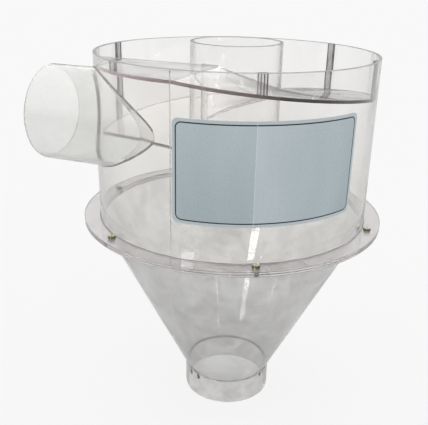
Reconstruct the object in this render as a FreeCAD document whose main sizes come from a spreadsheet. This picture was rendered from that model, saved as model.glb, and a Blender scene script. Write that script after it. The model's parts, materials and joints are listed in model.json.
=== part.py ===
"""Clear-plastic cyclone separator: barrel with a tangential inlet, spiral roof, cone and three round ports.

Millimetres, +Z up.  The axis of barrel, cone and ports is the Z axis, and Z = 0 is the lower edge of the
dust outlet, which the separator stands on.  Bearings are in degrees about Z, seen from above and counted
counter-clockwise from the front (-Y): 0 is the front and 90 is the right side (+X).

The inlet has a frame of its own: "along" runs from the barrel's centre plane towards the inlet's mouth,
and "offset" is square to it, from the barrel's axis towards the front.
"""
import FreeCAD, Part
import math
import os
import re

import Sketcher
from FreeCAD import Vector

DRIVING_SIZES = {
    "barrel_diameter": 300.0,      # outside
    "barrel_wall": 3.0,
    "barrel_height": 177.0,        # from the flange's face to the rim
    "flange_rim": 17.5,            # how far the rings stand out from the barrel
    "flange_thickness": 2.5,       # each of the two rings
    "cone_height": 201.0,
    "cone_wall": 3.0,              # square to the slope
    "cone_tip_diameter": 102.0,    # outside, where it meets the dust outlet
    "dust_diameter": 104.0,
    "dust_wall": 3.0,
    "dust_length": 30.0,
    "outlet_diameter": 98.0,
    "outlet_wall": 3.0,
    "outlet_rise": 10.0,           # above the barrel's rim
    "outlet_depth": 133.0,         # below the barrel's rim
    "inlet_diameter": 98.0,
    "inlet_wall": 3.0,
    "inlet_inset": 1.5,            # of its outer side inside the barrel's outer side
    "inlet_drop": 62.0,            # of its axis below the rim
    "inlet_reach": 165.0,          # of its mouth along its axis
    "inlet_turn": 20.4,            # of its axis from the -X direction towards the back
    "roof_drop": 10.0,             # of the flat part's top below the rim
    "roof_thickness": 3.0,
    "roof_pitch": 104.0,           # fall of the spiral in one whole turn
    "roof_start": -22.0,           # bearing where the flat part turns into the spiral
    "guide_thickness": 3.0,
    "guide_lap": 3.0,              # of its middle inside the outlet tube's outer side
    "post_width": 9.0,
    "post_depth": 3.0,
    "fastener_bearing": 9.0,       # of the first post, screw and nut
    "screw_offset": 6.0,           # of the screws from the barrel's outer side
    "screw_diameter": 4.0,
    "screw_length": 10.0,
    "screw_hole_diameter": 4.5,
    "head_diameter": 8.0,
    "head_height": 3.1,
    "head_edge": 1.3,              # height of the head's straight side, below its dome
    "recess_length": 4.4,
    "recess_width": 1.0,
    "recess_depth": 1.6,
    "nut_width": 7.0,              # across its flats
    "nut_height": 3.2,
    "nut_bore_diameter": 4.2,
    "label_start": -21.5,          # bearing of its left edge
    "label_span": 71.0,            # degrees
    "label_drop": 41.0,            # of its upper edge below the rim
    "label_height": 99.0,
    "label_thickness": 0.4,
    "label_corner": 6.0,
    "glue_gap": 0.1,               # glue film between curved faces
}

DERIVED_SIZES = {
    "barrel_outer": "barrel_diameter / 2",
    "barrel_bore": "barrel_outer - barrel_wall",
    "cone_top": "dust_length + cone_height",
    "cone_skin": "cone_wall * sqrt(1 + ((barrel_outer - cone_tip_diameter / 2) / cone_height)^2)",
    "split_level": "cone_top + flange_thickness",
    "seat_level": "split_level + flange_thickness",
    "rim_level": "seat_level + barrel_height",
    "roof_level": "rim_level - roof_drop",
    "roof_outer": "barrel_bore - glue_gap",
    "roof_inner": "outlet_outer + glue_gap",
    "outlet_outer": "outlet_diameter / 2",
    "outlet_foot": "rim_level - outlet_depth",
    "inlet_outer": "inlet_diameter / 2",
    "inlet_bore": "inlet_outer - inlet_wall",
    "inlet_offset": "barrel_outer - inlet_inset - inlet_outer",
    "inlet_level": "rim_level - inlet_drop",
    "screw_reach": "barrel_outer + screw_offset",
    "post_back": "sqrt(barrel_bore^2 - (post_width / 2)^2) - glue_gap",
    "guide_offset": "outlet_outer - guide_lap",
    "guide_back": "guide_offset - guide_thickness / 2",
    "guide_inner": "sqrt(roof_inner^2 - guide_back^2)",
    "guide_outer": "sqrt(roof_outer^2 - guide_back^2)",
}

FASTENER_COUNT = 6
POST_PLACES = (0, 1, 2, 4, 5)  # places in the fasteners' count; the one at the back has no post
NUT_TURN_STEP = 17.0          # the nuts and heads were tightened to different angles
SPIRAL_OVERRUN = 5.0          # degrees of spiral past the guide, trimmed off along it
GUIDE_STEPS = 4               # straight stretches in the guide's lower edge
FULL_TURN = 360.0
FRONT = -90.0                 # mathematical angle of bearing 0

doc = FreeCAD.newDocument("cyclone_separator")
sheet = doc.addObject("Spreadsheet::Sheet", "Sizes")
probe = doc.addObject("App::FeaturePython", "Probe")
nodes = []


def fill_sheet():
    for row, (name, value) in enumerate(DRIVING_SIZES.items(), start=1):
        sheet.set(f"A{row}", name)
        sheet.set(f"B{row}", str(value))
        sheet.setAlias(f"B{row}", name)
    probe.addProperty("App::PropertyFloat", "Reading")
    doc.recompute()


def formula(rule):
    """The rule as an expression: driving sizes point at the sheet and derived ones are written out."""
    def written(match):
        name = match.group(0)
        if name in DRIVING_SIZES:
            return "Sizes." + name
        if name in DERIVED_SIZES:
            return "(" + formula(DERIVED_SIZES[name]) + ")"
        return name
    return re.sub(r"[a-z_]+", written, str(rule))


def measure(rule):
    """The number that a rule gives now."""
    probe.setExpression("Reading", formula(rule))
    probe.recompute()
    return probe.Reading


def bind(item, **rules):
    for name, rule in rules.items():
        item.setExpression(name, formula(rule))


def place(item, x=0, y=0, z=0, turn="rotationz(0)"):
    item.setExpression("Placement", formula(f"placement(vector({x}; {y}; {z}); {turn})"))


def place_at_bearing(item, bearing, radius=0, z=0):
    """Turn the item so that its own X axis points along a bearing, and move it out along that."""
    angle = f"({bearing} + {FRONT})"
    place(item, f"{radius} * cos{angle}", f"{radius} * sin{angle}", z, f"rotationz{angle}")


def place_by_inlet(item, offset, z, tilt="rotationy(0)"):
    """Put the item in the inlet's frame: its X axis along the inlet, its Y axis towards the front."""
    turn = f"rotationz(180 - inlet_turn) * {tilt}"
    place(item, f"-({offset}) * sin(inlet_turn)", f"-({offset}) * cos(inlet_turn)", z, turn)


def keep(item, label):
    item.Label = label
    nodes.append(item)


def cylinder(name, radius, height, z=0):
    item = doc.addObject("Part::Cylinder", name)
    bind(item, Radius=radius, Height=height)
    place(item, z=z)
    return item


def box(name, length, width, height):
    item = doc.addObject("Part::Box", name)
    bind(item, Length=length, Width=width, Height=height)
    return item


def boolean(kind, name, base, tool):
    item = doc.addObject("Part::" + kind, name)
    item.Base = base
    item.Tool = tool
    return item


def tube(name, outer, bore, height, z=0):
    outside = cylinder(name + "_outside", outer, height, z)
    inside = cylinder(name + "_inside", bore, height, z)
    return boolean("Cut", name + "_tube", outside, inside)


def new_body(name):
    return doc.addObject("PartDesign::Body", name + "_body")


def new_sketch(body, name, plane, lift=0):
    sketch = body.newObject("Sketcher::SketchObject", name)
    support = next(item for item in body.Origin.OriginFeatures if item.Role == plane)
    sketch.AttachmentSupport = (support, [""])
    sketch.MapMode = "FlatFace"
    sketch.setExpression("AttachmentOffset.Base.z", formula(lift))
    return sketch


def dimension(sketch, rule, *constraint):
    index = sketch.addConstraint(Sketcher.Constraint(*constraint))
    sketch.setExpression(f"Constraints[{index}]", formula(rule))


def draw_circle(sketch, radius, along=0):
    """A circle on the sketch's X axis, at a distance along it from the origin."""
    reach = measure(along)
    number = sketch.addGeometry(Part.Circle(Vector(reach, 0, 0), Vector(0, 0, 1), measure(radius)), False)
    dimension(sketch, radius, "Radius", number, measure(radius))
    if reach:
        sketch.addConstraint(Sketcher.Constraint("PointOnObject", number, 3, -1))
        dimension(sketch, along, "DistanceX", -1, 1, number, 3, reach)
    else:
        sketch.addConstraint(Sketcher.Constraint("Coincident", number, 3, -1, 1))


def draw_outline(sketch, corners):
    """A closed straight-sided outline through corners given as pairs of rules."""
    points = [Vector(measure(across), measure(up), 0) for across, up in corners]
    count = len(points)
    for number, point in enumerate(points):
        sketch.addGeometry(Part.LineSegment(point, points[(number + 1) % count]), False)
    for number in range(count):
        sketch.addConstraint(Sketcher.Constraint("Coincident", number, 2, (number + 1) % count, 1))
    for number, (across, up) in enumerate(corners):
        dimension(sketch, across, "DistanceX", -1, 1, number, 1, points[number].x)
        dimension(sketch, up, "DistanceY", -1, 1, number, 1, points[number].y)


def pad(body, sketch, name, length, midplane=False):
    feature = body.newObject("PartDesign::Pad", name)
    feature.Profile = sketch
    feature.Midplane = midplane
    bind(feature, Length=length)
    return feature


def pocket(body, sketch, name, length):
    feature = body.newObject("PartDesign::Pocket", name)
    feature.Profile = sketch
    bind(feature, Length=length)
    return feature


def make_barrel():
    shell = tube("barrel", "barrel_outer", "barrel_bore", "barrel_height", "seat_level")
    way_in = cylinder("inlet_way", "inlet_bore", "inlet_reach")
    place_by_inlet(way_in, "inlet_offset", "inlet_level", "rotationy(90)")
    keep(boolean("Cut", "barrel_cut", shell, way_in), "barrel")


def make_inlet():
    outside = cylinder("inlet_outside", "inlet_outer", "inlet_reach")
    inside = cylinder("inlet_inside", "inlet_bore", "inlet_reach")
    for item in (outside, inside):
        place_by_inlet(item, "inlet_offset", "inlet_level", "rotationy(90)")
    pipe = boolean("Cut", "inlet_pipe", outside, inside)
    saddle = cylinder("inlet_saddle", "barrel_outer", "barrel_height", "seat_level")
    keep(boolean("Cut", "inlet_cut", pipe, saddle), "inlet_tube")


def make_outlet():
    tube_item = tube("outlet", "outlet_outer", "outlet_outer - outlet_wall", "outlet_depth + outlet_rise",
                     "outlet_foot")
    keep(tube_item, "outlet_tube")


def make_cone():
    outside = doc.addObject("Part::Cone", "cone_outside")
    bind(outside, Radius1="cone_tip_diameter / 2", Radius2="barrel_outer", Height="cone_height")
    inside = doc.addObject("Part::Cone", "cone_inside")
    bind(inside, Radius1="cone_tip_diameter / 2 - cone_skin", Radius2="barrel_outer - cone_skin",
         Height="cone_height")
    for item in (outside, inside):
        place(item, z="dust_length")
    keep(boolean("Cut", "cone_cut", outside, inside), "cone")


def make_dust_outlet():
    keep(tube("dust", "dust_diameter / 2", "dust_diameter / 2 - dust_wall", "dust_length"), "dust_outlet")


def make_flange(label, level):
    """A flat ring with a hole for each screw."""
    body = new_body(label)
    ring = new_sketch(body, label + "_ring", "XY_Plane")
    draw_circle(ring, "barrel_outer + flange_rim")
    draw_circle(ring, "barrel_bore")
    pad(body, ring, label + "_pad", "flange_thickness")
    doc.recompute()
    whole = body.Shape.Volume
    hole = new_sketch(body, label + "_hole", "XY_Plane", "flange_thickness")
    draw_circle(hole, "screw_hole_diameter / 2", "screw_reach")
    drilled = pocket(body, hole, label + "_pocket", "flange_thickness")
    pattern = body.newObject("PartDesign::PolarPattern", label + "_pattern")
    pattern.Originals = [drilled]
    pattern.Axis = (hole, ["N_Axis"])
    pattern.Angle = FULL_TURN
    pattern.Occurrences = FASTENER_COUNT
    body.Tip = pattern
    place_at_bearing(body, "fastener_bearing", z=level)
    doc.recompute()
    bored = whole - body.Shape.Volume
    drill = math.pi * measure("screw_hole_diameter / 2") ** 2 * measure("flange_thickness")
    if abs(bored - FASTENER_COUNT * drill) > 0.01 * drill:
        raise RuntimeError(f"{label}: the holes took away {bored:.1f} mm3")
    keep(body, label)


def roof_half(name, ring):
    """The part of the roof's ring beyond the guide, on the inlet's side of it."""
    room = box(name + "_room", "2 * barrel_outer", "barrel_outer", "roof_thickness")
    turn = "rotationz(180 - inlet_turn)"
    across = "(guide_back * sin(inlet_turn) - barrel_outer * cos(inlet_turn))"
    along = "(guide_back * cos(inlet_turn) + barrel_outer * sin(inlet_turn))"
    place(room, f"-{across}", f"-{along}", "roof_level - roof_thickness", turn)
    return boolean("Common", name, ring, room)


def make_roof():
    """A flat stretch over the inlet's way in, running on as a spiral that falls by its pitch in a turn."""
    level = "roof_level - roof_thickness"
    ring = tube("roof_ring", "roof_outer", "roof_inner", "roof_thickness", level)
    beyond = roof_half("roof_beyond_guide", ring)
    before = box("roof_before_spiral", "2 * barrel_outer", "barrel_outer", "roof_thickness")
    angle = f"(roof_start + {FRONT})"
    place(before, f"-barrel_outer * cos{angle} + barrel_outer * sin{angle}",
          f"-barrel_outer * sin{angle} - barrel_outer * cos{angle}", level, f"rotationz{angle}")
    flat = boolean("Common", "roof_flat", beyond, before)

    body = new_body("roof_spiral")
    section = new_sketch(body, "roof_section", "XZ_Plane")
    draw_outline(section, [("roof_inner", level), ("roof_outer", level),
                           ("roof_outer", "roof_level"), ("roof_inner", "roof_level")])
    spiral = body.newObject("PartDesign::AdditiveHelix", "roof_helix")
    spiral.Profile = section
    spiral.ReferenceAxis = (section, ["V_Axis"])
    spiral.Mode = "pitch-turns-angle"
    spiral.LeftHanded = True
    spiral.Reversed = True
    sweep = "(360 - inlet_turn - acos(guide_back / roof_inner) / 1 deg - roof_start)"
    bind(spiral, Pitch="roof_pitch", Turns=f"({sweep} + {SPIRAL_OVERRUN}) / 360")
    place_at_bearing(body, "roof_start")

    whole = doc.addObject("Part::MultiFuse", "roof_whole")
    whole.Shapes = [flat, body]
    trim = box("roof_trim", "barrel_outer", "barrel_outer", "roof_pitch")
    place_by_inlet(trim, "guide_back", "roof_level - 1.5 * roof_pitch")
    keep(boolean("Cut", "roof_cut", whole, trim), "spiral_roof")


def roof_fall(along):
    """Rule for how far the spiral has fallen where it meets the guide, at a distance along the inlet."""
    bearing = f"(360 - inlet_turn - atan(({along}) / guide_back) / 1 deg)"
    return f"roof_pitch / 360 * ({bearing} - roof_start)"


def make_guide():
    """The upright plate from the outlet tube to the barrel's wall, which joins the spiral's two ends."""
    body = new_body("guide")
    side = new_sketch(body, "guide_side", "XZ_Plane", "-guide_offset")
    top = "roof_level - roof_thickness"
    corners = [("0", top), ("barrel_outer", top)]
    for step in range(GUIDE_STEPS, -1, -1):
        along = f"(guide_inner + (guide_outer - guide_inner) * {step} / {GUIDE_STEPS})"
        level = f"{top} - {roof_fall(along)}"
        end = {GUIDE_STEPS: "barrel_outer", 0: "0"}.get(step, along)
        corners.append((end, level))
    draw_outline(side, corners)
    pad(body, side, "guide_plate", "guide_thickness", midplane=True)
    place(body, turn="rotationz(180 - inlet_turn)")
    room = tube("guide_room", "roof_outer", "roof_inner", "rim_level")
    keep(boolean("Common", "guide_cut", body, room), "inlet_guide")


def fastener_bearing(number):
    return f"(fastener_bearing + {number} * 360 / {FASTENER_COUNT})"


def make_post(number, spot):
    """A flat strip glued up the inside of the barrel, from the roof to the rim."""
    rule = fastener_bearing(spot)
    flat_from = FULL_TURN - measure("inlet_turn + acos(guide_back / roof_outer) / 1 deg")
    fall = "0" if measure(rule) > flat_from else f"roof_pitch / 360 * ({rule} - roof_start)"
    lean = "0" if fall == "0" else "roof_pitch / (2 * pi * (post_back - post_depth / 2)) * post_width / 2"
    foot = f"roof_level + glue_gap - {fall}"
    body = new_body(f"post_{number}")
    face = new_sketch(body, f"post_{number}_face", "YZ_Plane", "post_back - post_depth")
    draw_outline(face, [("-post_width / 2", f"{foot} + {lean}"), ("post_width / 2", f"{foot} - {lean}"),
                        ("post_width / 2", "rim_level"), ("-post_width / 2", "rim_level")])
    pad(body, face, f"post_{number}_strip", "post_depth")
    place_at_bearing(body, rule)
    keep(body, f"rim_post_{number}")


def place_fastener(item, number, level):
    """On the screw circle, turned about its own axis by an angle of its own."""
    angle = f"({fastener_bearing(number)} + {FRONT})"
    place(item, f"screw_reach * cos{angle}", f"screw_reach * sin{angle}", level,
          f"rotationz({number} * {NUT_TURN_STEP})")


def make_screw(number):
    """A pan-head screw with a cross recess; its head rests on the upper flange."""
    name = f"screw_{number}"
    body = new_body(name)
    half = new_sketch(body, name + "_half", "XZ_Plane")
    draw_outline(half, [("0", "-screw_length"), ("screw_diameter / 2 - 0.5", "-screw_length"),
                        ("screw_diameter / 2", "0.5 - screw_length"), ("screw_diameter / 2", "0"),
                        ("head_diameter / 2", "0"), ("head_diameter / 2", "head_edge"),
                        ("head_diameter / 2 * 0.9", "head_edge + (head_height - head_edge) * 0.55"),
                        ("head_diameter / 2 * 0.6", "head_height - 0.15"), ("0", "head_height")])
    turned = body.newObject("PartDesign::Revolution", name + "_turned")
    turned.Profile = half
    turned.ReferenceAxis = (half, ["V_Axis"])
    turned.Angle = FULL_TURN
    cross = new_sketch(body, name + "_cross", "XY_Plane", "head_height")
    long, short = "recess_length / 2", "recess_width / 2"
    draw_outline(cross, [(long, f"-{short}"), (long, short), (short, short), (short, long),
                         (f"-{short}", long), (f"-{short}", short), (f"-{long}", short),
                         (f"-{long}", f"-{short}"), (f"-{short}", f"-{short}"), (f"-{short}", f"-{long}"),
                         (short, f"-{long}"), (short, f"-{short}")])
    pocket(body, cross, name + "_recess", "recess_depth")
    place_fastener(body, number, "seat_level")
    keep(body, f"flange_screw_{number + 1}")


def make_nut(number):
    """A hexagon nut against the lower flange."""
    name = f"nut_{number}"
    prism = doc.addObject("Part::Prism", name + "_hexagon")
    prism.Polygon = 6
    bind(prism, Circumradius="nut_width / sqrt(3)", Height="nut_height")
    hole = cylinder(name + "_bore", "nut_bore_diameter / 2", "nut_height")
    for item in (prism, hole):
        place_fastener(item, number, "cone_top - nut_height")
    keep(boolean("Cut", name + "_cut", prism, hole), f"flange_nut_{number + 1}")


def make_label():
    """A thin blank plate that follows the barrel, with rounded corners."""
    plate = cylinder("label_outside", "barrel_outer + glue_gap + label_thickness", "label_height")
    bind(plate, Angle="label_span")
    place_at_bearing(plate, "label_start", z="rim_level - label_drop - label_height")
    inside = cylinder("label_inside", "barrel_outer + glue_gap", "rim_level")
    sharp = boolean("Cut", "label_sharp", plate, inside)
    doc.recompute()
    rounded = doc.addObject("Part::Fillet", "label_rounded")
    rounded.Base = sharp
    radius = measure("label_corner")
    short = [number for number, edge in enumerate(sharp.Shape.Edges, start=1)
             if edge.Length < 2 * measure("label_thickness")]
    rounded.Edges = [(number, radius, radius) for number in short]
    keep(rounded, "label")


def check_model():
    doc.recompute()
    for item in doc.Objects:
        if "Invalid" in item.State or "Error" in item.State:
            raise RuntimeError(f"{item.Name} ({item.Label}) failed: {item.State}")
    for item in nodes:
        shape = item.Shape
        if shape.isNull() or not shape.isValid() or len(shape.Solids) != 1:
            raise RuntimeError(f"{item.Label}: bad shape with {len(shape.Solids)} solids")


def write_parts():
    os.makedirs("parts", exist_ok=True)
    for item in nodes:
        item.Shape.exportStep(os.path.join("parts", item.Label + ".step"))
        print(f"{item.Label:16} {item.Shape.Volume:12.1f} mm3")


def main():
    fill_sheet()
    make_barrel()
    make_inlet()
    make_outlet()
    make_roof()
    make_guide()
    make_flange("barrel_flange", "split_level")
    make_flange("cone_flange", "cone_top")
    make_cone()
    make_dust_outlet()
    make_label()
    for number in range(FASTENER_COUNT):
        make_screw(number)
        make_nut(number)
    for number, spot in enumerate(POST_PLACES, start=1):
        make_post(number, spot)
    check_model()
    write_parts()


main()
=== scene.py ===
"""Looks for a small cyclone separator of clear plastic: materials, glued joints, floor, light and camera.

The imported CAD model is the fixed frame, and all of it shows, its clear parts drawn in by a hairline.
The pieces added here are the beads of solvent cement in its joints and the seam of its rolled barrel.
"""

import json
import math

import bmesh
import bpy
from mathutils import Matrix, Vector, noise


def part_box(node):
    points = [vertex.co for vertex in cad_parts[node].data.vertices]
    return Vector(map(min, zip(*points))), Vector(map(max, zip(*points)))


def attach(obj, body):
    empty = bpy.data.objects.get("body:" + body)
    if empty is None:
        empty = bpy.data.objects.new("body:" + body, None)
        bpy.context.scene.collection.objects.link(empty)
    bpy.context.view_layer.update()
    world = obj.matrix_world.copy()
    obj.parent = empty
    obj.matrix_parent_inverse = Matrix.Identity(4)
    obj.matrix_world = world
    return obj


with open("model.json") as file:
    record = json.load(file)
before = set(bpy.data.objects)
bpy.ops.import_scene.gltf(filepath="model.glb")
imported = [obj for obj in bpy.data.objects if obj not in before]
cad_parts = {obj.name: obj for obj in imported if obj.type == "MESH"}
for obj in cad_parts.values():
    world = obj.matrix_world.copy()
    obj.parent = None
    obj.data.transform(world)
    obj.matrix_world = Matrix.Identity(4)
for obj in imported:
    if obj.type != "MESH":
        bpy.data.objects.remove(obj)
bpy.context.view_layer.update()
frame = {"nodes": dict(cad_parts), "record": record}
BODY = "root"
MM = 0.001

# ---------------------------------------------------------------- sizes, from the frame where it has them


def radius_of(node):
    low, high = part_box(node)
    return (high.x - low.x) / 2


BARREL_LOW, BARREL_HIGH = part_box("barrel")
BARREL_R = radius_of("barrel")
FLANGE_R = radius_of("barrel_flange")
SHEET = 3 * MM                                   # wall of the barrel, the cone and the tubes
BARREL_BORE = BARREL_R - SHEET
SEAT_Z = BARREL_LOW.z
RIM_Z = BARREL_HIGH.z
CONE_TOP_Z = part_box("cone")[1].z
SPLIT_Z = (SEAT_Z + CONE_TOP_Z) / 2              # where the two flange rings meet
CONE_TIP_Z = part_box("cone")[0].z
CONE_R = radius_of("cone")
CONE_TIP_R = 51 * MM                             # outside, at the cone's foot
OUTLET_R = radius_of("outlet_tube")
OUTLET_LOW_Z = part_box("outlet_tube")[0].z
OUTLET_TOP_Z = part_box("outlet_tube")[1].z
ROOF_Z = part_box("spiral_roof")[1].z
LABEL_LOW, LABEL_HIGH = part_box("label")
INLET = {mount["name"]: mount for mount in frame["record"]["mounts"]}["inlet"]
INLET_R = 49 * MM
ROOF_START = -22.0                               # bearing in degrees where the roof begins to fall
ROOF_PITCH = 104 * MM                            # fall in a full turn


# ---------------------------------------------------------------- node helpers


def new_material(name):
    """A material with an empty node tree, and its output node."""
    material = bpy.data.materials.new(name)
    material.use_nodes = True
    tree = material.node_tree
    tree.nodes.clear()
    output = tree.nodes.new("ShaderNodeOutputMaterial")
    return material, tree, output


def link(tree, source, target):
    tree.links.new(source, target)


def object_point(tree):
    """The surface point, in metres in the CAD frame."""
    return tree.nodes.new("ShaderNodeTexCoord").outputs["Object"]


def noise_value(tree, vector, scale, detail=2.0, roughness=0.5, distortion=0.0):
    node = tree.nodes.new("ShaderNodeTexNoise")
    node.inputs["Scale"].default_value = scale
    node.inputs["Detail"].default_value = detail
    node.inputs["Roughness"].default_value = roughness
    node.inputs["Distortion"].default_value = distortion
    link(tree, vector, node.inputs["Vector"])
    return node.outputs["Fac"]


def math_node(tree, operation, first, second=None, third=None):
    node = tree.nodes.new("ShaderNodeMath")
    node.operation = operation
    for index, value in enumerate((first, second, third)):
        if value is None:
            continue
        if isinstance(value, (int, float)):
            node.inputs[index].default_value = value
        else:
            link(tree, value, node.inputs[index])
    return node.outputs[0]


def span(tree, value, from_low, from_high, to_low, to_high):
    """Map a value's range to another, clamped."""
    node = tree.nodes.new("ShaderNodeMapRange")
    node.inputs["From Min"].default_value = from_low
    node.inputs["From Max"].default_value = from_high
    node.inputs["To Min"].default_value = to_low
    node.inputs["To Max"].default_value = to_high
    link(tree, value, node.inputs["Value"])
    return node.outputs["Result"]


def blend_colours(tree, factor, first, second):
    """Colours are sockets or rgb triples."""
    node = tree.nodes.new("ShaderNodeMix")
    node.data_type = "RGBA"
    link(tree, factor, node.inputs["Factor"])
    for socket, value in ((node.inputs["A"], first), (node.inputs["B"], second)):
        if isinstance(value, tuple):
            socket.default_value = (*value, 1.0)
        else:
            link(tree, value, socket)
    return node.outputs["Result"]


def bump(tree, height, strength, distance):
    node = tree.nodes.new("ShaderNodeBump")
    node.inputs["Strength"].default_value = strength
    node.inputs["Distance"].default_value = distance
    link(tree, height, node.inputs["Height"])
    return node.outputs["Normal"]


def split_point(tree, vector):
    node = tree.nodes.new("ShaderNodeSeparateXYZ")
    link(tree, vector, node.inputs[0])
    return node.outputs


def distance_from_axis(tree, point):
    x, y, _ = split_point(tree, point)
    squares = math_node(tree, "ADD", math_node(tree, "POWER", x, 2.0), math_node(tree, "POWER", y, 2.0))
    return math_node(tree, "SQRT", squares)


def level_share(tree):
    """1 on a level face, 0 on an upright one."""
    geometry = tree.nodes.new("ShaderNodeNewGeometry")
    return math_node(tree, "ABSOLUTE", split_point(tree, geometry.outputs["True Normal"])[2])


def handling_marks(tree, point):
    return noise_value(tree, point, 38.0, 5.0, 0.6, 0.8)


def rolling_ripple(tree, point):
    return noise_value(tree, point, 17.0, 1.5)


def assign(material, names):
    """Put the material on CAD nodes or pieces, by name."""
    for name in names:
        item = bpy.data.objects[name]
        if not item.material_slots:
            item.data.materials.append(material)
        for index in range(len(item.material_slots)):
            item.material_slots[index].material = material


# ---------------------------------------------------------------- clear plastic


ACRYLIC_IOR, CEMENT_IOR = 1.49, 1.46
SHEET_PASSES = (0.97, 0.965, 0.96)               # share of a lamp's light that a surface passes
CEMENT_PASSES = (0.9, 0.89, 0.89)
DEEP_TINT, ROOF_DEEP_TINT = (0.35, 0.30, 0.31), (0.35, 0.25, 0.28)
CLOUD_COLOUR = (0.36, 0.35, 0.36)
EDGE_COLOUR = (0.20, 0.17, 0.18)
RIPPLE_DEPTH = 4 * MM
MARK_COLOUR = (0.012, 0.010, 0.012)
MARK_CLEARNESS = 0.1


def let_lamps_through(tree, output, surface, passed):
    """Clear plastic throws hardly any shadow: its shadow rays go straight on, a little dimmed."""
    light_path = tree.nodes.new("ShaderNodeLightPath")
    clear = tree.nodes.new("ShaderNodeBsdfTransparent")
    clear.inputs["Color"].default_value = (*passed, 1.0)
    mixed = tree.nodes.new("ShaderNodeMixShader")
    link(tree, light_path.outputs["Is Shadow Ray"], mixed.inputs[0])
    link(tree, surface, mixed.inputs[1])
    link(tree, clear.outputs[0], mixed.inputs[2])
    link(tree, mixed.outputs[0], output.inputs["Surface"])


def absorb(tree, output, colour, density):
    """Tint by depth, so that a wall looked along is darker than one looked through."""
    node = tree.nodes.new("ShaderNodeVolumeAbsorption")
    node.inputs["Color"].default_value = (*colour, 1.0)
    node.inputs["Density"].default_value = density
    link(tree, node.outputs[0], output.inputs["Volume"])


def height_tint(tree, point, foot, crown):
    """A tint that changes from foot to crown, each a height and a colour. Its grey, mostly deeper low down,
    is painted shade for shaded surroundings seen through the plastic.
    """
    height = split_point(tree, point)[2]
    uneven = math_node(tree, "MULTIPLY_ADD", noise_value(tree, point, 9.0, 3.0), 0.06, -0.03)
    share = span(tree, math_node(tree, "ADD", height, uneven), foot[0], crown[0], 0.0, 1.0)
    return blend_colours(tree, share, foot[1], crown[1])


def edge_share(tree, power):
    """Near 0 where a surface is seen square on, rising to 1 where it is seen along its edge."""
    node = tree.nodes.new("ShaderNodeLayerWeight")
    node.inputs["Blend"].default_value = 0.5
    return math_node(tree, "POWER", node.outputs["Facing"], power)


def clear_plastic(name, foot, crown, wave=0.12, smooth=0.012, smudge=0.07, veil=0.03, edge=0.16,
                  depth=5.0, patches=0.0, patch_scale=21.0, edge_power=5.0, shine=1.0, marks=None):
    """Acrylic sheet or tube: glass-like, with a faint wave from rolling, smudges, a veil of fine dust
    and a tint that deepens where the eye looks along the wall.

    foot and crown are each a height and the tint there. smooth and smudge are the roughness of clean and of
    handled plastic, and depth is the density of its inner tint. Patches dull it in soft clouds, and shine
    under 1 weakens its mirror images. Marks are near-black and hardly clear: they are a mask, made by a
    function of the tree and the point.
    """
    material, tree, output = new_material(name)
    shader = tree.nodes.new("ShaderNodeBsdfPrincipled")
    point = object_point(tree)
    handled = handling_marks(tree, point)
    scuffs = noise_value(tree, point, 420.0, 3.0, 0.65)
    tint = height_tint(tree, point, foot, crown)
    if patches:
        cloud = noise_value(tree, point, patch_scale, 5.0, 0.55, 0.6)
        tint = blend_colours(tree, span(tree, cloud, 0.38, 0.72, 0.0, patches), tint, CLOUD_COLOUR)
    along_wall = math_node(tree, "MULTIPLY", edge_share(tree, edge_power), edge)
    colour = blend_colours(tree, along_wall, tint, EDGE_COLOUR)
    dulled = span(tree, handled, 0.56, 0.76, smooth, smudge)
    fine = span(tree, scuffs, 0.5, 0.75, 0.0, smudge * 0.35)
    link(tree, math_node(tree, "ADD", dulled, fine), shader.inputs["Roughness"])
    link(tree, bump(tree, rolling_ripple(tree, point), wave, RIPPLE_DEPTH), shader.inputs["Normal"])
    settled = noise_value(tree, point, 30.0, 4.0, 0.6)
    clearness = span(tree, settled, 0.3, 0.7, 1.0 - veil * 0.4, 1.0 - veil * 1.6)
    if marks:
        mask = marks(tree, point)
        colour = blend_colours(tree, mask, colour, MARK_COLOUR)
        clearness = math_node(tree, "MULTIPLY", clearness, span(tree, mask, 0.0, 1.0, 1.0, MARK_CLEARNESS))
    link(tree, colour, shader.inputs["Base Color"])
    link(tree, clearness, shader.inputs["Transmission Weight"])
    shader.inputs["IOR"].default_value = ACRYLIC_IOR
    shader.inputs["Specular Tint"].default_value = (shine, shine, shine, 1.0)
    let_lamps_through(tree, output, shader.outputs[0], SHEET_PASSES)
    absorb(tree, output, DEEP_TINT, depth)
    return material


SAWN_DEPTH = 0.7 * MM
FLANGE_LINE_HALF_WIDTH = 0.4 * MM
# Painted dark glints below the cone's joint, standing in for dark refractions.
PAINTED_GLINTS = ((-42, 8 * MM), (-57, 9 * MM), (53, 5 * MM))     # bearing in degrees, length
GLINT_HALF_WIDTH = math.radians(1.5)


def bearing_of(tree, point):
    """Bearing in radians: 0 at the front, positive to the right."""
    x, y, _ = split_point(tree, point)
    return math_node(tree, "ARCTAN2", x, math_node(tree, "MULTIPLY", y, -1.0))


def sawn_rim(top, strength):
    """A mask for a tube's sawn end: the last few tenths of a millimetre below its top."""
    def mask(tree, point):
        near = math_node(tree, "GREATER_THAN", split_point(tree, point)[2], top - SAWN_DEPTH)
        worn = span(tree, noise_value(tree, point, 45.0, 3.0), 0.35, 0.65, 0.6, 1.0)
        return math_node(tree, "MULTIPLY", math_node(tree, "MULTIPLY", near, worn), strength)
    return mask


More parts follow.
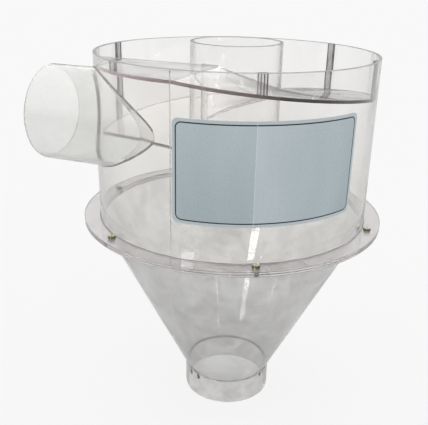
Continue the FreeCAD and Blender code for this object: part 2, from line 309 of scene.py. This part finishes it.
def flange_edge(tree, point):
    """A mask for the corners of the rings' turned edge and the line where the rings meet."""
    near = math_node(tree, "GREATER_THAN", distance_from_axis(tree, point), FLANGE_R - FLANGE_LINE_HALF_WIDTH)
    level = split_point(tree, point)[2]
    off_split = math_node(tree, "ABSOLUTE", math_node(tree, "SUBTRACT", level, SPLIT_Z))
    corner = math_node(tree, "ABSOLUTE", math_node(tree, "SUBTRACT", off_split, SEAT_Z - SPLIT_Z))
    off_line = math_node(tree, "MINIMUM", off_split, corner)
    line = math_node(tree, "LESS_THAN", off_line, FLANGE_LINE_HALF_WIDTH)
    worn = span(tree, noise_value(tree, point, 45.0, 3.0), 0.35, 0.65, 0.4, 0.75)
    return math_node(tree, "MULTIPLY", math_node(tree, "MULTIPLY", near, line), worn)


def painted_dark_glints(tree, point):
    """Painted dark glints below the cone's joint, standing in for dark refractions there."""
    wander = math_node(tree, "MULTIPLY_ADD", noise_value(tree, point, 150.0, 3.0), 0.10, -0.05)
    bearing = math_node(tree, "ADD", bearing_of(tree, point), wander)
    below = math_node(tree, "SUBTRACT", CONE_TIP_Z, split_point(tree, point)[2])
    total = None
    for degrees, length in PAINTED_GLINTS:
        off = math_node(tree, "ABSOLUTE", math_node(tree, "SUBTRACT", bearing, math.radians(degrees)))
        near = span(tree, off, GLINT_HALF_WIDTH * 0.6, GLINT_HALF_WIDTH, 1.0, 0.0)
        glint = math_node(tree, "MULTIPLY", near, span(tree, below, length * 0.8, length, 1.0, 0.0))
        total = glint if total is None else math_node(tree, "MAXIMUM", total, glint)
    return total


POST_BEARING, POST_STEP = math.radians(9), math.radians(60)
POST_HALF_WIDTH = 4.5 * MM
POST_SCORE = 1.4 * MM                            # scored lines, each side of a post's middle
POST_SCORE_HALF_WIDTH = 0.4 * MM


def post_lines(tree, point):
    """A mask for the rim posts' sawn sides and two scored lines along each post."""
    turned = math_node(tree, "ADD", bearing_of(tree, point), POST_STEP / 2 - POST_BEARING)
    within = math_node(tree, "FLOORED_MODULO", turned, POST_STEP)
    aside = math_node(tree, "ABSOLUTE", math_node(tree, "SUBTRACT", within, POST_STEP / 2))
    off = math_node(tree, "MULTIPLY", aside, BARREL_BORE)
    side = math_node(tree, "GREATER_THAN", off, POST_HALF_WIDTH - 2 * POST_SCORE_HALF_WIDTH)
    off_score = math_node(tree, "ABSOLUTE", math_node(tree, "SUBTRACT", off, POST_SCORE))
    score = math_node(tree, "LESS_THAN", off_score, POST_SCORE_HALF_WIDTH)
    worn = span(tree, noise_value(tree, point, 90.0), 0.35, 0.65, 0.6, 0.9)
    return math_node(tree, "MULTIPLY", math_node(tree, "MAXIMUM", side, score), worn)


# Painted shade on the roof's cut edge: its reach round the front, and its colour from grey plum at the left
# to near black at the right.
EDGE_SHADE_LEFT, EDGE_SHADE_RIGHT = math.radians(-100), math.radians(100)
EDGE_SHADE_FADE = math.radians(12)
EDGE_SHADE_GREY_TO, EDGE_SHADE_DARK_FROM = math.radians(-70), math.radians(28)
EDGE_SHADE_GREY, EDGE_SHADE_DARK = (0.44, 0.345, 0.365), (0.014, 0.003, 0.005)
ROOF_COLOUR = (0.975, 0.965, 0.96)
ROOF_DEPTH = 2.0


def roof_plastic(name):
    """The same sheet, sawn. Round the front its cut edge is dull and painted dark, a painted shade: grey plum
    at the left, near black at the right."""
    material, tree, output = new_material(name)
    shader = tree.nodes.new("ShaderNodeBsdfPrincipled")
    point = object_point(tree)
    outside = math_node(tree, "GREATER_THAN", distance_from_axis(tree, point), BARREL_BORE - SHEET / 2)
    upright = math_node(tree, "LESS_THAN", level_share(tree), 0.6)
    cut = math_node(tree, "MULTIPLY", outside, upright)
    bearing = bearing_of(tree, point)
    begun = span(tree, bearing, EDGE_SHADE_LEFT, EDGE_SHADE_LEFT + EDGE_SHADE_FADE, 0.0, 1.0)
    ended = span(tree, bearing, EDGE_SHADE_RIGHT - EDGE_SHADE_FADE, EDGE_SHADE_RIGHT, 1.0, 0.0)
    reach = math_node(tree, "MULTIPLY", begun, ended)
    # The mask of the cut edge's painted shade.
    painted_edge_shade = math_node(tree, "MULTIPLY", cut, reach)
    mottle = math_node(tree, "MULTIPLY_ADD", noise_value(tree, point, 60.0, 4.0, 0.6), 0.5, -0.25)
    share = span(tree, bearing, EDGE_SHADE_GREY_TO, EDGE_SHADE_DARK_FROM, 0.0, 1.0)
    darkness = span(tree, math_node(tree, "ADD", share, mottle), 0.0, 1.0, 0.0, 1.0)
    edge_shade_colour = blend_colours(tree, darkness, EDGE_SHADE_GREY, EDGE_SHADE_DARK)
    link(tree, blend_colours(tree, painted_edge_shade, ROOF_COLOUR, edge_shade_colour), shader.inputs["Base Color"])
    link(tree, span(tree, painted_edge_shade, 0.0, 1.0, 0.985, 0.02), shader.inputs["Transmission Weight"])
    sheet_finish = span(tree, handling_marks(tree, point), 0.55, 0.78, 0.012, 0.08)
    link(tree, math_node(tree, "MULTIPLY_ADD", painted_edge_shade, 0.4, sheet_finish), shader.inputs["Roughness"])
    absorb(tree, output, ROOF_DEEP_TINT, ROOF_DEPTH)
    saw_marks = noise_value(tree, point, 900.0, 2.0)
    sawn = math_node(tree, "MULTIPLY", cut, saw_marks)
    height = math_node(tree, "MULTIPLY_ADD", sawn, 0.03, rolling_ripple(tree, point))
    link(tree, bump(tree, height, 0.12, RIPPLE_DEPTH), shader.inputs["Normal"])
    link(tree, span(tree, painted_edge_shade, 0.0, 1.0, 0.5, 0.1), shader.inputs["Specular IOR Level"])
    shader.inputs["IOR"].default_value = ACRYLIC_IOR
    let_lamps_through(tree, output, shader.outputs[0], SHEET_PASSES)
    return material


def cement(name, pale, dark, milky):
    """Cured solvent cement: clear where thin, milky or stained where thick, with drag marks."""
    material, tree, output = new_material(name)
    shader = tree.nodes.new("ShaderNodeBsdfPrincipled")
    point = object_point(tree)
    milk = noise_value(tree, point, 120.0, 4.0, 0.6)
    link(tree, blend_colours(tree, span(tree, milk, 0.35, 0.65, 0.0, 1.0), pale, dark),
         shader.inputs["Base Color"])
    link(tree, span(tree, milk, 0.3, 0.7, 0.04, 0.22), shader.inputs["Roughness"])
    drags = noise_value(tree, point, 260.0, 3.0)
    link(tree, bump(tree, drags, 0.5, 0.6 * MM), shader.inputs["Normal"])
    link(tree, span(tree, milk, 0.3, 0.7, 1.0 - milky * 0.5, 1.0 - milky * 1.5),
         shader.inputs["Transmission Weight"])
    shader.inputs["IOR"].default_value = CEMENT_IOR
    let_lamps_through(tree, output, shader.outputs[0], CEMENT_PASSES)
    return material


# ---------------------------------------------------------------- label, screws and nuts


BORDER_INSET = 3.6 * MM
BORDER_CORNER = 5.5 * MM
BORDER_HALF_WIDTH = 0.6 * MM
LABEL_START = math.radians(-21.5)
LABEL_SPAN = math.radians(71)
CREASE_HIGHLIGHT_BEARING = math.radians(7.7)
CREASE_HIGHLIGHT_HALF_WIDTH = 0.35 * MM
FIELD_DARK, FIELD_PALE = (0.31, 0.38, 0.40), (0.47, 0.53, 0.56)
MARGIN_COLOUR = (0.44, 0.49, 0.51)
BORDER_COLOUR = (0.012, 0.022, 0.025)
# Painted highlight: the pale line down the crease.
PAINTED_HIGHLIGHT_COLOUR = (0.72, 0.76, 0.78)
LABEL_BEYOND_CREASE_HIGHLIGHT = (LABEL_START + LABEL_SPAN - CREASE_HIGHLIGHT_BEARING) * BARREL_R


def around_barrel(tree, point, bearing):
    """Distance round the barrel's skin from a bearing, in metres."""
    aside = math_node(tree, "SUBTRACT", bearing_of(tree, point), bearing)
    return math_node(tree, "MULTIPLY", aside, BARREL_R)


def beyond_border(tree, along, up):
    """Signed distance outward from the label's printed border, a rounded rectangle unrolled flat."""
    half_along = LABEL_SPAN / 2 * BARREL_R - BORDER_INSET - BORDER_CORNER
    half_up = (LABEL_HIGH.z - LABEL_LOW.z) / 2 - BORDER_INSET - BORDER_CORNER
    reach_along = math_node(tree, "SUBTRACT", math_node(tree, "ABSOLUTE", along), half_along)
    reach_up = math_node(tree, "SUBTRACT", math_node(tree, "ABSOLUTE", up), half_up)
    square = math_node(tree, "ADD",
                       math_node(tree, "POWER", math_node(tree, "MAXIMUM", reach_along, 0.0), 2.0),
                       math_node(tree, "POWER", math_node(tree, "MAXIMUM", reach_up, 0.0), 2.0))
    inner = math_node(tree, "MINIMUM", math_node(tree, "MAXIMUM", reach_along, reach_up), 0.0)
    distance = math_node(tree, "ADD", math_node(tree, "SQRT", square), inner)
    return math_node(tree, "SUBTRACT", distance, BORDER_CORNER)


def label_film(name):
    """A bare printed film: blue-grey in soft upright bands, paler at its margin, with a thin dark line
    round it and one fine crease from being laid on the curve. Along the crease runs a painted highlight, and
    just right of it a painted band of light that turns to painted shade towards the film's right end."""
    material, tree, output = new_material(name)
    shader = tree.nodes.new("ShaderNodeBsdfPrincipled")
    point = object_point(tree)
    along = around_barrel(tree, point, LABEL_START + LABEL_SPAN / 2)
    height = split_point(tree, point)[2]
    up = math_node(tree, "SUBTRACT", height, (LABEL_LOW.z + LABEL_HIGH.z) / 2)
    distance = beyond_border(tree, along, up)
    bands = tree.nodes.new("ShaderNodeCombineXYZ")
    link(tree, along, bands.inputs[0])
    link(tree, math_node(tree, "MULTIPLY", up, 0.35), bands.inputs[1])
    drift = noise_value(tree, bands.outputs[0], 24.0, 2.0, 0.5)
    past_crease_highlight = around_barrel(tree, point, CREASE_HIGHLIGHT_BEARING)
    # Painted light: a paler band just right of the crease, turning to painted shade towards the right end.
    painted_light_band = math_node(tree, "MULTIPLY", math_node(tree, "GREATER_THAN", past_crease_highlight, 0.0),
                    span(tree, past_crease_highlight, 0.0, LABEL_BEYOND_CREASE_HIGHLIGHT, 0.46, -0.25))
    shade = math_node(tree, "ADD", math_node(tree, "MULTIPLY_ADD", up, 3.8, 0.42),
                      math_node(tree, "MULTIPLY_ADD", drift, 0.7, -0.35))
    paleness = span(tree, math_node(tree, "ADD", shade, painted_light_band), 0.0, 1.0, 0.0, 1.0)
    field = blend_colours(tree, paleness, FIELD_DARK, FIELD_PALE)
    margin = math_node(tree, "GREATER_THAN", distance, 0.0)
    printed = blend_colours(tree, margin, field, MARGIN_COLOUR)
    line = math_node(tree, "LESS_THAN", math_node(tree, "ABSOLUTE", distance), BORDER_HALF_WIDTH)
    lined = blend_colours(tree, line, printed, BORDER_COLOUR)
    off_crease_highlight = math_node(tree, "ABSOLUTE", past_crease_highlight)
    # The crease mask carries both the crease's slight ridge and its painted highlight.
    crease_and_highlight = span(tree, off_crease_highlight, 0.0, CREASE_HIGHLIGHT_HALF_WIDTH, 0.75, 0.0)
    link(tree, blend_colours(tree, crease_and_highlight, lined, PAINTED_HIGHLIGHT_COLOUR), shader.inputs["Base Color"])
    grain = noise_value(tree, point, 700.0, 2.0)
    link(tree, span(tree, grain, 0.3, 0.7, 0.24, 0.34), shader.inputs["Roughness"])
    unevenness = math_node(tree, "MULTIPLY_ADD", crease_and_highlight, 0.3, noise_value(tree, point, 45.0, 2.0))
    link(tree, bump(tree, unevenness, 0.12, 1.2 * MM), shader.inputs["Normal"])
    link(tree, shader.outputs[0], output.inputs["Surface"])
    return material


def zinc(name, bright, dull, painted_flank_shade, roughness):
    """Zinc-plated steel: uneven passivated colour, fine pitting and duller in patches, with painted shade on
    its flanks.
    """
    material, tree, output = new_material(name)
    shader = tree.nodes.new("ShaderNodeBsdfPrincipled")
    point = object_point(tree)
    patch = noise_value(tree, point, 240.0, 4.0, 0.6, 0.5)
    plated = blend_colours(tree, span(tree, patch, 0.35, 0.65, 0.0, 1.0), bright, dull)
    # Painted shade: the flanks take a darker colour than the plated top.
    facing_up = span(tree, level_share(tree), 0.80, 0.97, 0.0, 1.0)
    link(tree, blend_colours(tree, facing_up, painted_flank_shade, plated), shader.inputs["Base Color"])
    link(tree, span(tree, patch, 0.3, 0.7, roughness, roughness + 0.22), shader.inputs["Roughness"])
    pits = noise_value(tree, point, 2600.0, 2.0)
    link(tree, bump(tree, pits, 0.25, 0.1 * MM), shader.inputs["Normal"])
    shader.inputs["Metallic"].default_value = 1.0
    link(tree, shader.outputs[0], output.inputs["Surface"])
    return material


# ---------------------------------------------------------------- beads of cement


def bead_mesh(name, rows, closed):
    """Skin rows of points, each row a loop round the bead's section, into one closed solid."""
    mesh = bmesh.new()
    made = [[mesh.verts.new(point) for point in row] for row in rows]
    pairs = list(zip(made, made[1:]))
    if closed:
        pairs.append((made[-1], made[0]))
    count = len(made[0])
    for first, second in pairs:
        for index in range(count):
            following = (index + 1) % count
            mesh.faces.new((first[index], first[following], second[following], second[index]))
    if not closed:
        mesh.faces.new(made[0])
        mesh.faces.new(list(reversed(made[-1])))
    bmesh.ops.recalc_face_normals(mesh, faces=mesh.faces)
    for face in mesh.faces:
        face.smooth = True
    data = bpy.data.meshes.new(name)
    mesh.to_mesh(data)
    mesh.free()
    item = bpy.data.objects.new(name, data)
    bpy.context.scene.collection.objects.link(item)
    return item


BEAD_CLEARANCE = 0.02 * MM
BEAD_SECTION = [(0.0, 0.0), (1.0, 0.0), (0.62, 0.16), (0.34, 0.34), (0.16, 0.62), (0.0, 1.0)]


def fillet(name, stations, leg, closed, uneven=0.22):
    """A concave bead along a corner. A station is the corner's point and the two directions out of it."""
    rows = []
    for point, first, second in stations:
        size = leg * (1 + uneven * noise.noise(point * 90.0))
        corner = point + (first + second) * BEAD_CLEARANCE
        rows.append([corner + first * (a * size) + second * (b * size) for a, b in BEAD_SECTION])
    item = bead_mesh(name, rows, closed)
    return item


def outward_at(angle):
    """The level direction away from the axis at a bearing in radians."""
    return Vector((math.sin(angle), -math.cos(angle), 0))


def ring_stations(radius, level, outward, upward, count=180, slope=0.0):
    """Stations round a circle; outward and upward are +1 or -1, and slope leans the second direction."""
    stations = []
    for index in range(count):
        away = outward_at(math.tau * index / count)
        second = (Vector((0, 0, upward)) + away * slope).normalized()
        stations.append((away * radius + Vector((0, 0, level)), away * outward, second))
    return stations


def spiral_level(bearing):
    """Top of the roof at a bearing in degrees: flat up to ROOF_START, then falling by ROOF_PITCH a turn."""
    return ROOF_Z - max(bearing - ROOF_START, 0.0) / 360 * ROOF_PITCH


def spiral_stations(radius, outward, first, last, step=2.0):
    """Stations along the roof's top where it meets a tube of this radius."""
    stations = []
    count = round((last - first) / step)
    for index in range(count + 1):
        bearing = first + (last - first) * index / count
        away = outward_at(math.radians(bearing))
        point = away * radius + Vector((0, 0, spiral_level(bearing)))
        stations.append((point, away * outward, Vector((0, 0, 1))))
    return stations


def saddle_stations(first=6, last=354, step=2):
    """Stations where the inlet tube's skin runs into the barrel's, by the angle round the tube."""
    mouth = Vector(INLET["pos_m"])
    along = Vector(INLET["axis"]).normalized()
    side = Vector((-along.y, along.x, 0))
    offset = mouth.dot(side)
    stations = []
    for degrees in range(first, last + 1, step):
        angle = math.radians(degrees)
        skin = side * math.cos(angle) + Vector((0, 0, math.sin(angle)))
        across = offset + INLET_R * math.cos(angle)
        reach = math.sqrt(BARREL_R ** 2 - across ** 2)
        point = side * across + along * reach
        wall = point.normalized()
        point.z = mouth.z + INLET_R * math.sin(angle)
        first_way = (skin - wall * skin.dot(wall)).normalized()
        second_way = (wall - skin * wall.dot(skin)).normalized()
        stations.append((point, first_way, second_way))
    return stations


SEAM_BEARING = math.radians(-22.2)
SEAM_HALF_WIDTH = 0.6 * MM
SEAM_HEIGHT = 0.12 * MM
SEAM_MARGIN = 1.5 * MM


def seam_strip(name, count=90):
    """The welded seam of the rolled barrel: a low strip, from foot to rim, of uneven width."""
    away = outward_at(SEAM_BEARING)
    along = Vector((math.cos(SEAM_BEARING), math.sin(SEAM_BEARING), 0))
    low, high = SEAT_Z + SEAM_MARGIN, RIM_Z - SEAM_MARGIN
    rows = []
    for index in range(count + 1):
        level = low + (high - low) * index / count
        half = SEAM_HALF_WIDTH * (1 + 0.3 * noise.noise(Vector((0, 0, level * 110.0))))
        base = away * (BARREL_R + BEAD_CLEARANCE) + Vector((0, 0, level))
        crest = base + away * SEAM_HEIGHT
        flat = half * 0.6
        rows.append([base - along * half, crest - along * flat, crest + along * flat, base + along * half])
    item = bead_mesh(name, rows, False)
    return item


# ---------------------------------------------------------------- build


HAIRLINE = 0.03 * MM
ROOF_INNER_REACH = (-45, 313)                    # bearings in degrees, first and last
ROOF_OUTER_REACH = (-92, 266)
CONE_SLOPE = (CONE_R - CONE_TIP_R) / (CONE_TOP_Z - CONE_TIP_Z)


def part_joints(names):
    """Draw each clear part in by a hairline, so that light meets a real joint where two of them touch."""
    for name in names:
        shrink = frame["nodes"][name].modifiers.new("hairline", "DISPLACE")
        shrink.strength = -HAIRLINE
        shrink.mid_level = 0.0


POSTS = [f"rim_post_{n}" for n in range(1, 6)]
SCREWS = [f"flange_screw_{n}" for n in range(1, 7)]
NUTS = [f"flange_nut_{n}" for n in range(1, 7)]
part_joints(["barrel", "cone", "outlet_tube", "inlet_tube", "dust_outlet", "barrel_flange", "cone_flange",
             "spiral_roof", "inlet_guide"] + POSTS)

clear_beads = [
    fillet("cone_bead", ring_stations(CONE_R, CONE_TOP_Z, 1, -1, slope=-CONE_SLOPE), 0.9 * MM, True),
    fillet("roof_inner_bead", spiral_stations(OUTLET_R, 1, *ROOF_INNER_REACH), 0.8 * MM, False),
    fillet("roof_outer_bead", spiral_stations(BARREL_BORE, -1, *ROOF_OUTER_REACH), 0.4 * MM, False),
    fillet("dust_bead", ring_stations(CONE_TIP_R, CONE_TIP_Z, 1, 1, slope=CONE_SLOPE), 1.3 * MM, True),
]
dark_beads = [
    fillet("inlet_bead", saddle_stations(), 1.0 * MM, False),
    fillet("flange_bead", ring_stations(BARREL_R, SEAT_Z, 1, 1), 0.7 * MM, True),
]
seam = seam_strip("barrel_seam")
for item in clear_beads + dark_beads + [seam]:
    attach(item, BODY)

# The foot and crown tints are painted shade: their grey stands in for shaded surroundings seen through the
# plastic.
BARREL_LOOK = clear_plastic(
    "barrel_look", foot=(SEAT_Z, (0.89, 0.88, 0.86)), crown=(RIM_Z - 60 * MM, (0.97, 0.965, 0.955)),
    veil=0.012, edge=0.09, depth=2.5, patches=0.05, marks=sawn_rim(RIM_Z, 0.5))
CONE_LOOK = clear_plastic(
    "cone_look", foot=(CONE_TIP_Z, (0.56, 0.56, 0.55)), crown=(100 * MM, (0.74, 0.74, 0.73)),
    veil=0.07, edge=0.05, depth=3.0, patches=0.35, patch_scale=36.0)
OUTLET_LOOK = clear_plastic(
    "outlet_look", foot=(OUTLET_LOW_Z, (0.995, 0.99, 0.985)), crown=(RIM_Z, (0.995, 0.995, 0.995)),
    wave=0.08, edge=0.95, edge_power=7.0, depth=12.0, shine=0.3, marks=sawn_rim(OUTLET_TOP_Z, 0.5))
INLET_LOOK = clear_plastic(
    "inlet_look", foot=(300 * MM, (0.77, 0.775, 0.755)), crown=(400 * MM, (0.86, 0.86, 0.845)),
    wave=0.08, smooth=0.05, smudge=0.16, veil=0.1, patches=0.05)
DUST_LOOK = clear_plastic(
    "dust_outlet_look", foot=(0.0, (0.72, 0.71, 0.695)), crown=(CONE_TIP_Z, (0.65, 0.64, 0.63)),
    wave=0.08, veil=0.08, patches=0.5, patch_scale=70.0, marks=painted_dark_glints)
POST_LOOK = clear_plastic(
    "clear_bar_look", foot=(300 * MM, (0.78, 0.76, 0.77)), crown=(RIM_Z, (0.83, 0.81, 0.82)),
    smudge=0.1, edge=0.8, depth=20.0, marks=post_lines)
FLANGE_LOOK = clear_plastic(
    "flange_sheet_look", foot=(SEAT_Z - 10 * MM, (0.69, 0.68, 0.68)), crown=(SEAT_Z, (0.72, 0.71, 0.71)),
    wave=0.06, veil=0.12, depth=3.0, patches=0.15, marks=flange_edge)
GUIDE_LOOK = clear_plastic(
    "guide_sheet_look", foot=(300 * MM, (0.95, 0.94, 0.935)), crown=(RIM_Z, (0.975, 0.965, 0.96)))
SCREW_LOOK = zinc(
    "zinc_screw_look", bright=(0.98, 0.97, 0.82), dull=(0.86, 0.85, 0.60), painted_flank_shade=(0.12, 0.115, 0.065),
    roughness=0.08)
# The nuts' zinc is painted dark: painted shade for their place under the flange.
NUT_PAINTED_SHADE_LOOK = zinc(
    "zinc_nut_painted_shade_look", bright=(0.16, 0.15, 0.15), dull=(0.08, 0.07, 0.07), painted_flank_shade=(0.04, 0.038, 0.038),
    roughness=0.28)
CEMENT_LOOK = cement("cement_look", pale=(0.86, 0.84, 0.84), dark=(0.60, 0.57, 0.58), milky=0.1)
DARK_CEMENT_LOOK = cement("dark_cement_look", pale=(0.58, 0.56, 0.57), dark=(0.34, 0.32, 0.33), milky=0.15)
SEAM_LOOK = cement("seam_look", pale=(0.97, 0.95, 0.945), dark=(0.92, 0.89, 0.885), milky=0.06)

assign(BARREL_LOOK, ["barrel"])
assign(CONE_LOOK, ["cone"])
assign(OUTLET_LOOK, ["outlet_tube"])
assign(INLET_LOOK, ["inlet_tube"])
assign(DUST_LOOK, ["dust_outlet"])
assign(POST_LOOK, POSTS)
assign(FLANGE_LOOK, ["barrel_flange", "cone_flange"])
assign(roof_plastic("roof_sheet_look"), ["spiral_roof"])
assign(GUIDE_LOOK, ["inlet_guide"])
assign(label_film("label_film_look"), ["label"])
assign(SCREW_LOOK, SCREWS)
assign(NUT_PAINTED_SHADE_LOOK, NUTS)
assign(CEMENT_LOOK, [item.name for item in clear_beads])
assign(DARK_CEMENT_LOOK, [item.name for item in dark_beads])
assign(SEAM_LOOK, [seam.name])


# ---------------------------------------------------------------- floor, light and camera


FLOOR_GLOW = 0.82
FLOOR_MIRRORED_FRONT, FLOOR_MIRRORED_REST = 0.12, 0.56
FLOOR_FRONT_FROM, FLOOR_FRONT_TO = -0.9, -0.2    # along y, in metres
FLOOR_COLOUR = (0.10, 0.10, 0.10)
FLOOR_REACH = 30.0


def floor_glow(tree):
    """The floor glows evenly; met in a reflection it is dimmer, and dimmest out in front."""
    path = tree.nodes.new("ShaderNodeLightPath")
    ahead = split_point(tree, object_point(tree))[1]
    mirrored = span(tree, ahead, FLOOR_FRONT_FROM, FLOOR_FRONT_TO, FLOOR_MIRRORED_FRONT, FLOOR_MIRRORED_REST)
    change = math_node(tree, "SUBTRACT", mirrored, FLOOR_GLOW)
    share = span(tree, path.outputs["Glossy Depth"], 0.0, 1.0, 0.0, 1.0)
    return math_node(tree, "ADD", math_node(tree, "MULTIPLY", share, change), FLOOR_GLOW)


def make_floor(reach):
    data = bpy.data.meshes.new("floor")
    corners = [(-reach, -reach, 0), (reach, -reach, 0), (reach, reach, 0), (-reach, reach, 0)]
    data.from_pydata(corners, [], [(0, 1, 2, 3)])
    floor = bpy.data.objects.new("floor", data)
    bpy.context.scene.collection.objects.link(floor)
    material, tree, output = new_material("floor_look")
    paint = tree.nodes.new("ShaderNodeBsdfDiffuse")
    paint.inputs["Color"].default_value = (*FLOOR_COLOUR, 1)
    glow = tree.nodes.new("ShaderNodeEmission")
    glow.inputs["Color"].default_value = (1, 1, 1, 1)
    link(tree, floor_glow(tree), glow.inputs["Strength"])
    both = tree.nodes.new("ShaderNodeAddShader")
    link(tree, paint.outputs[0], both.inputs[0])
    link(tree, glow.outputs[0], both.inputs[1])
    link(tree, both.outputs[0], output.inputs["Surface"])
    data.materials.append(material)


HORIZON_SHADE, OVERHEAD_SHADE, SEEN_SHADE = (0.25, 0.25, 0.25), (1.08, 1.08, 1.08), (0.8, 0.8, 0.8)
HORIZON_LOW, HORIZON_HIGH = 0.02, 0.3            # rise of a ray for its length
STUDIO_STRENGTH = 1.15


def make_world():
    """A soft studio: bright overhead, and dimmer towards the horizon except where it is seen directly or
    straight through the plastic."""
    world = bpy.data.worlds.new("studio")
    bpy.context.scene.world = world
    world.use_nodes = True
    tree = world.node_tree
    tree.nodes.clear()
    output = tree.nodes.new("ShaderNodeOutputWorld")
    background = tree.nodes.new("ShaderNodeBackground")
    coordinates = tree.nodes.new("ShaderNodeTexCoord")
    height = split_point(tree, coordinates.outputs["Generated"])[2]
    overhead = span(tree, height, HORIZON_LOW, HORIZON_HIGH, 0.0, 1.0)
    shade = blend_colours(tree, overhead, HORIZON_SHADE, OVERHEAD_SHADE)
    path = tree.nodes.new("ShaderNodeLightPath")
    seen = math_node(tree, "MAXIMUM", path.outputs["Is Camera Ray"], path.outputs["Is Transmission Ray"])
    direct = math_node(tree, "LESS_THAN", path.outputs["Glossy Depth"], 0.5)
    plain = math_node(tree, "MULTIPLY", seen, direct)
    link(tree, blend_colours(tree, plain, shade, SEEN_SHADE), background.inputs["Color"])
    background.inputs["Strength"].default_value = STUDIO_STRENGTH
    link(tree, background.outputs[0], output.inputs["Surface"])


STRIP_TARGET = (0.02, 0.08, 0.10)
STRIPS = {                                       # place, width, height and power
    "strip_left": ((-0.71, -1.065, 0.72), 0.22, 0.36, 3.6),
    "strip_right": ((0.528, -1.21, 0.64), 0.03, 0.3, 0.7),
    "strip_side": ((-1.387, -0.144, 0.45), 0.03, 0.12, 0.3),
}


def strip_light(name, place, width, height, power):
    """A lamp aimed at the cone. It shows only in reflections and highlights."""
    data = bpy.data.lights.new(name, "AREA")
    data.shape = "RECTANGLE"
    data.size = width
    data.size_y = height
    data.energy = power
    lamp = bpy.data.objects.new(name, data)
    bpy.context.scene.collection.objects.link(lamp)
    lamp.location = place
    lamp.rotation_euler = (Vector(STRIP_TARGET) - Vector(place)).to_track_quat("-Z", "Y").to_euler()
    lamp.visible_diffuse = False
    lamp.visible_camera = False


make_floor(FLOOR_REACH)
make_world()
for strip_name, (place, width, height, power) in STRIPS.items():
    strip_light(strip_name, place, width, height, power)


CAMERA_PLACE = Vector((-0.00032, -0.67331, 0.49311))
CAMERA_PITCH = math.radians(-21.46)
CAMERA_YAW = math.radians(-1.7)
CAMERA_ROLL = math.radians(1.21)
CAMERA_LENS = 52.09
SENSOR_WIDTH = 36
MOST_BOUNCES, MOST_TRANSMISSIONS, MOST_GLOSSY = 40, 36, 12     # a ray may cross many walls


def make_camera():
    """The photo's point of view."""
    data = bpy.data.cameras.new("camera")
    data.sensor_width = SENSOR_WIDTH
    data.sensor_fit = "HORIZONTAL"
    data.lens = CAMERA_LENS
    camera = bpy.data.objects.new("camera", data)
    bpy.context.scene.collection.objects.link(camera)
    forward = Vector((math.sin(CAMERA_YAW) * math.cos(CAMERA_PITCH),
                      math.cos(CAMERA_YAW) * math.cos(CAMERA_PITCH),
                      math.sin(CAMERA_PITCH)))
    right = Vector((math.cos(CAMERA_YAW), -math.sin(CAMERA_YAW), 0))
    up = right.cross(forward)
    rolled_right = right * math.cos(CAMERA_ROLL) + up * math.sin(CAMERA_ROLL)
    rolled_up = up * math.cos(CAMERA_ROLL) - right * math.sin(CAMERA_ROLL)
    turn = Matrix((rolled_right, rolled_up, -forward)).transposed()
    camera.matrix_world = Matrix.Translation(CAMERA_PLACE) @ turn.to_4x4()
    bpy.context.scene.camera = camera


make_camera()
scene = bpy.context.scene
scene.view_settings.view_transform = "Standard"
scene.cycles.max_bounces = MOST_BOUNCES
scene.cycles.transmission_bounces = MOST_TRANSMISSIONS
scene.cycles.transparent_max_bounces = MOST_BOUNCES
scene.cycles.glossy_bounces = MOST_GLOSSY
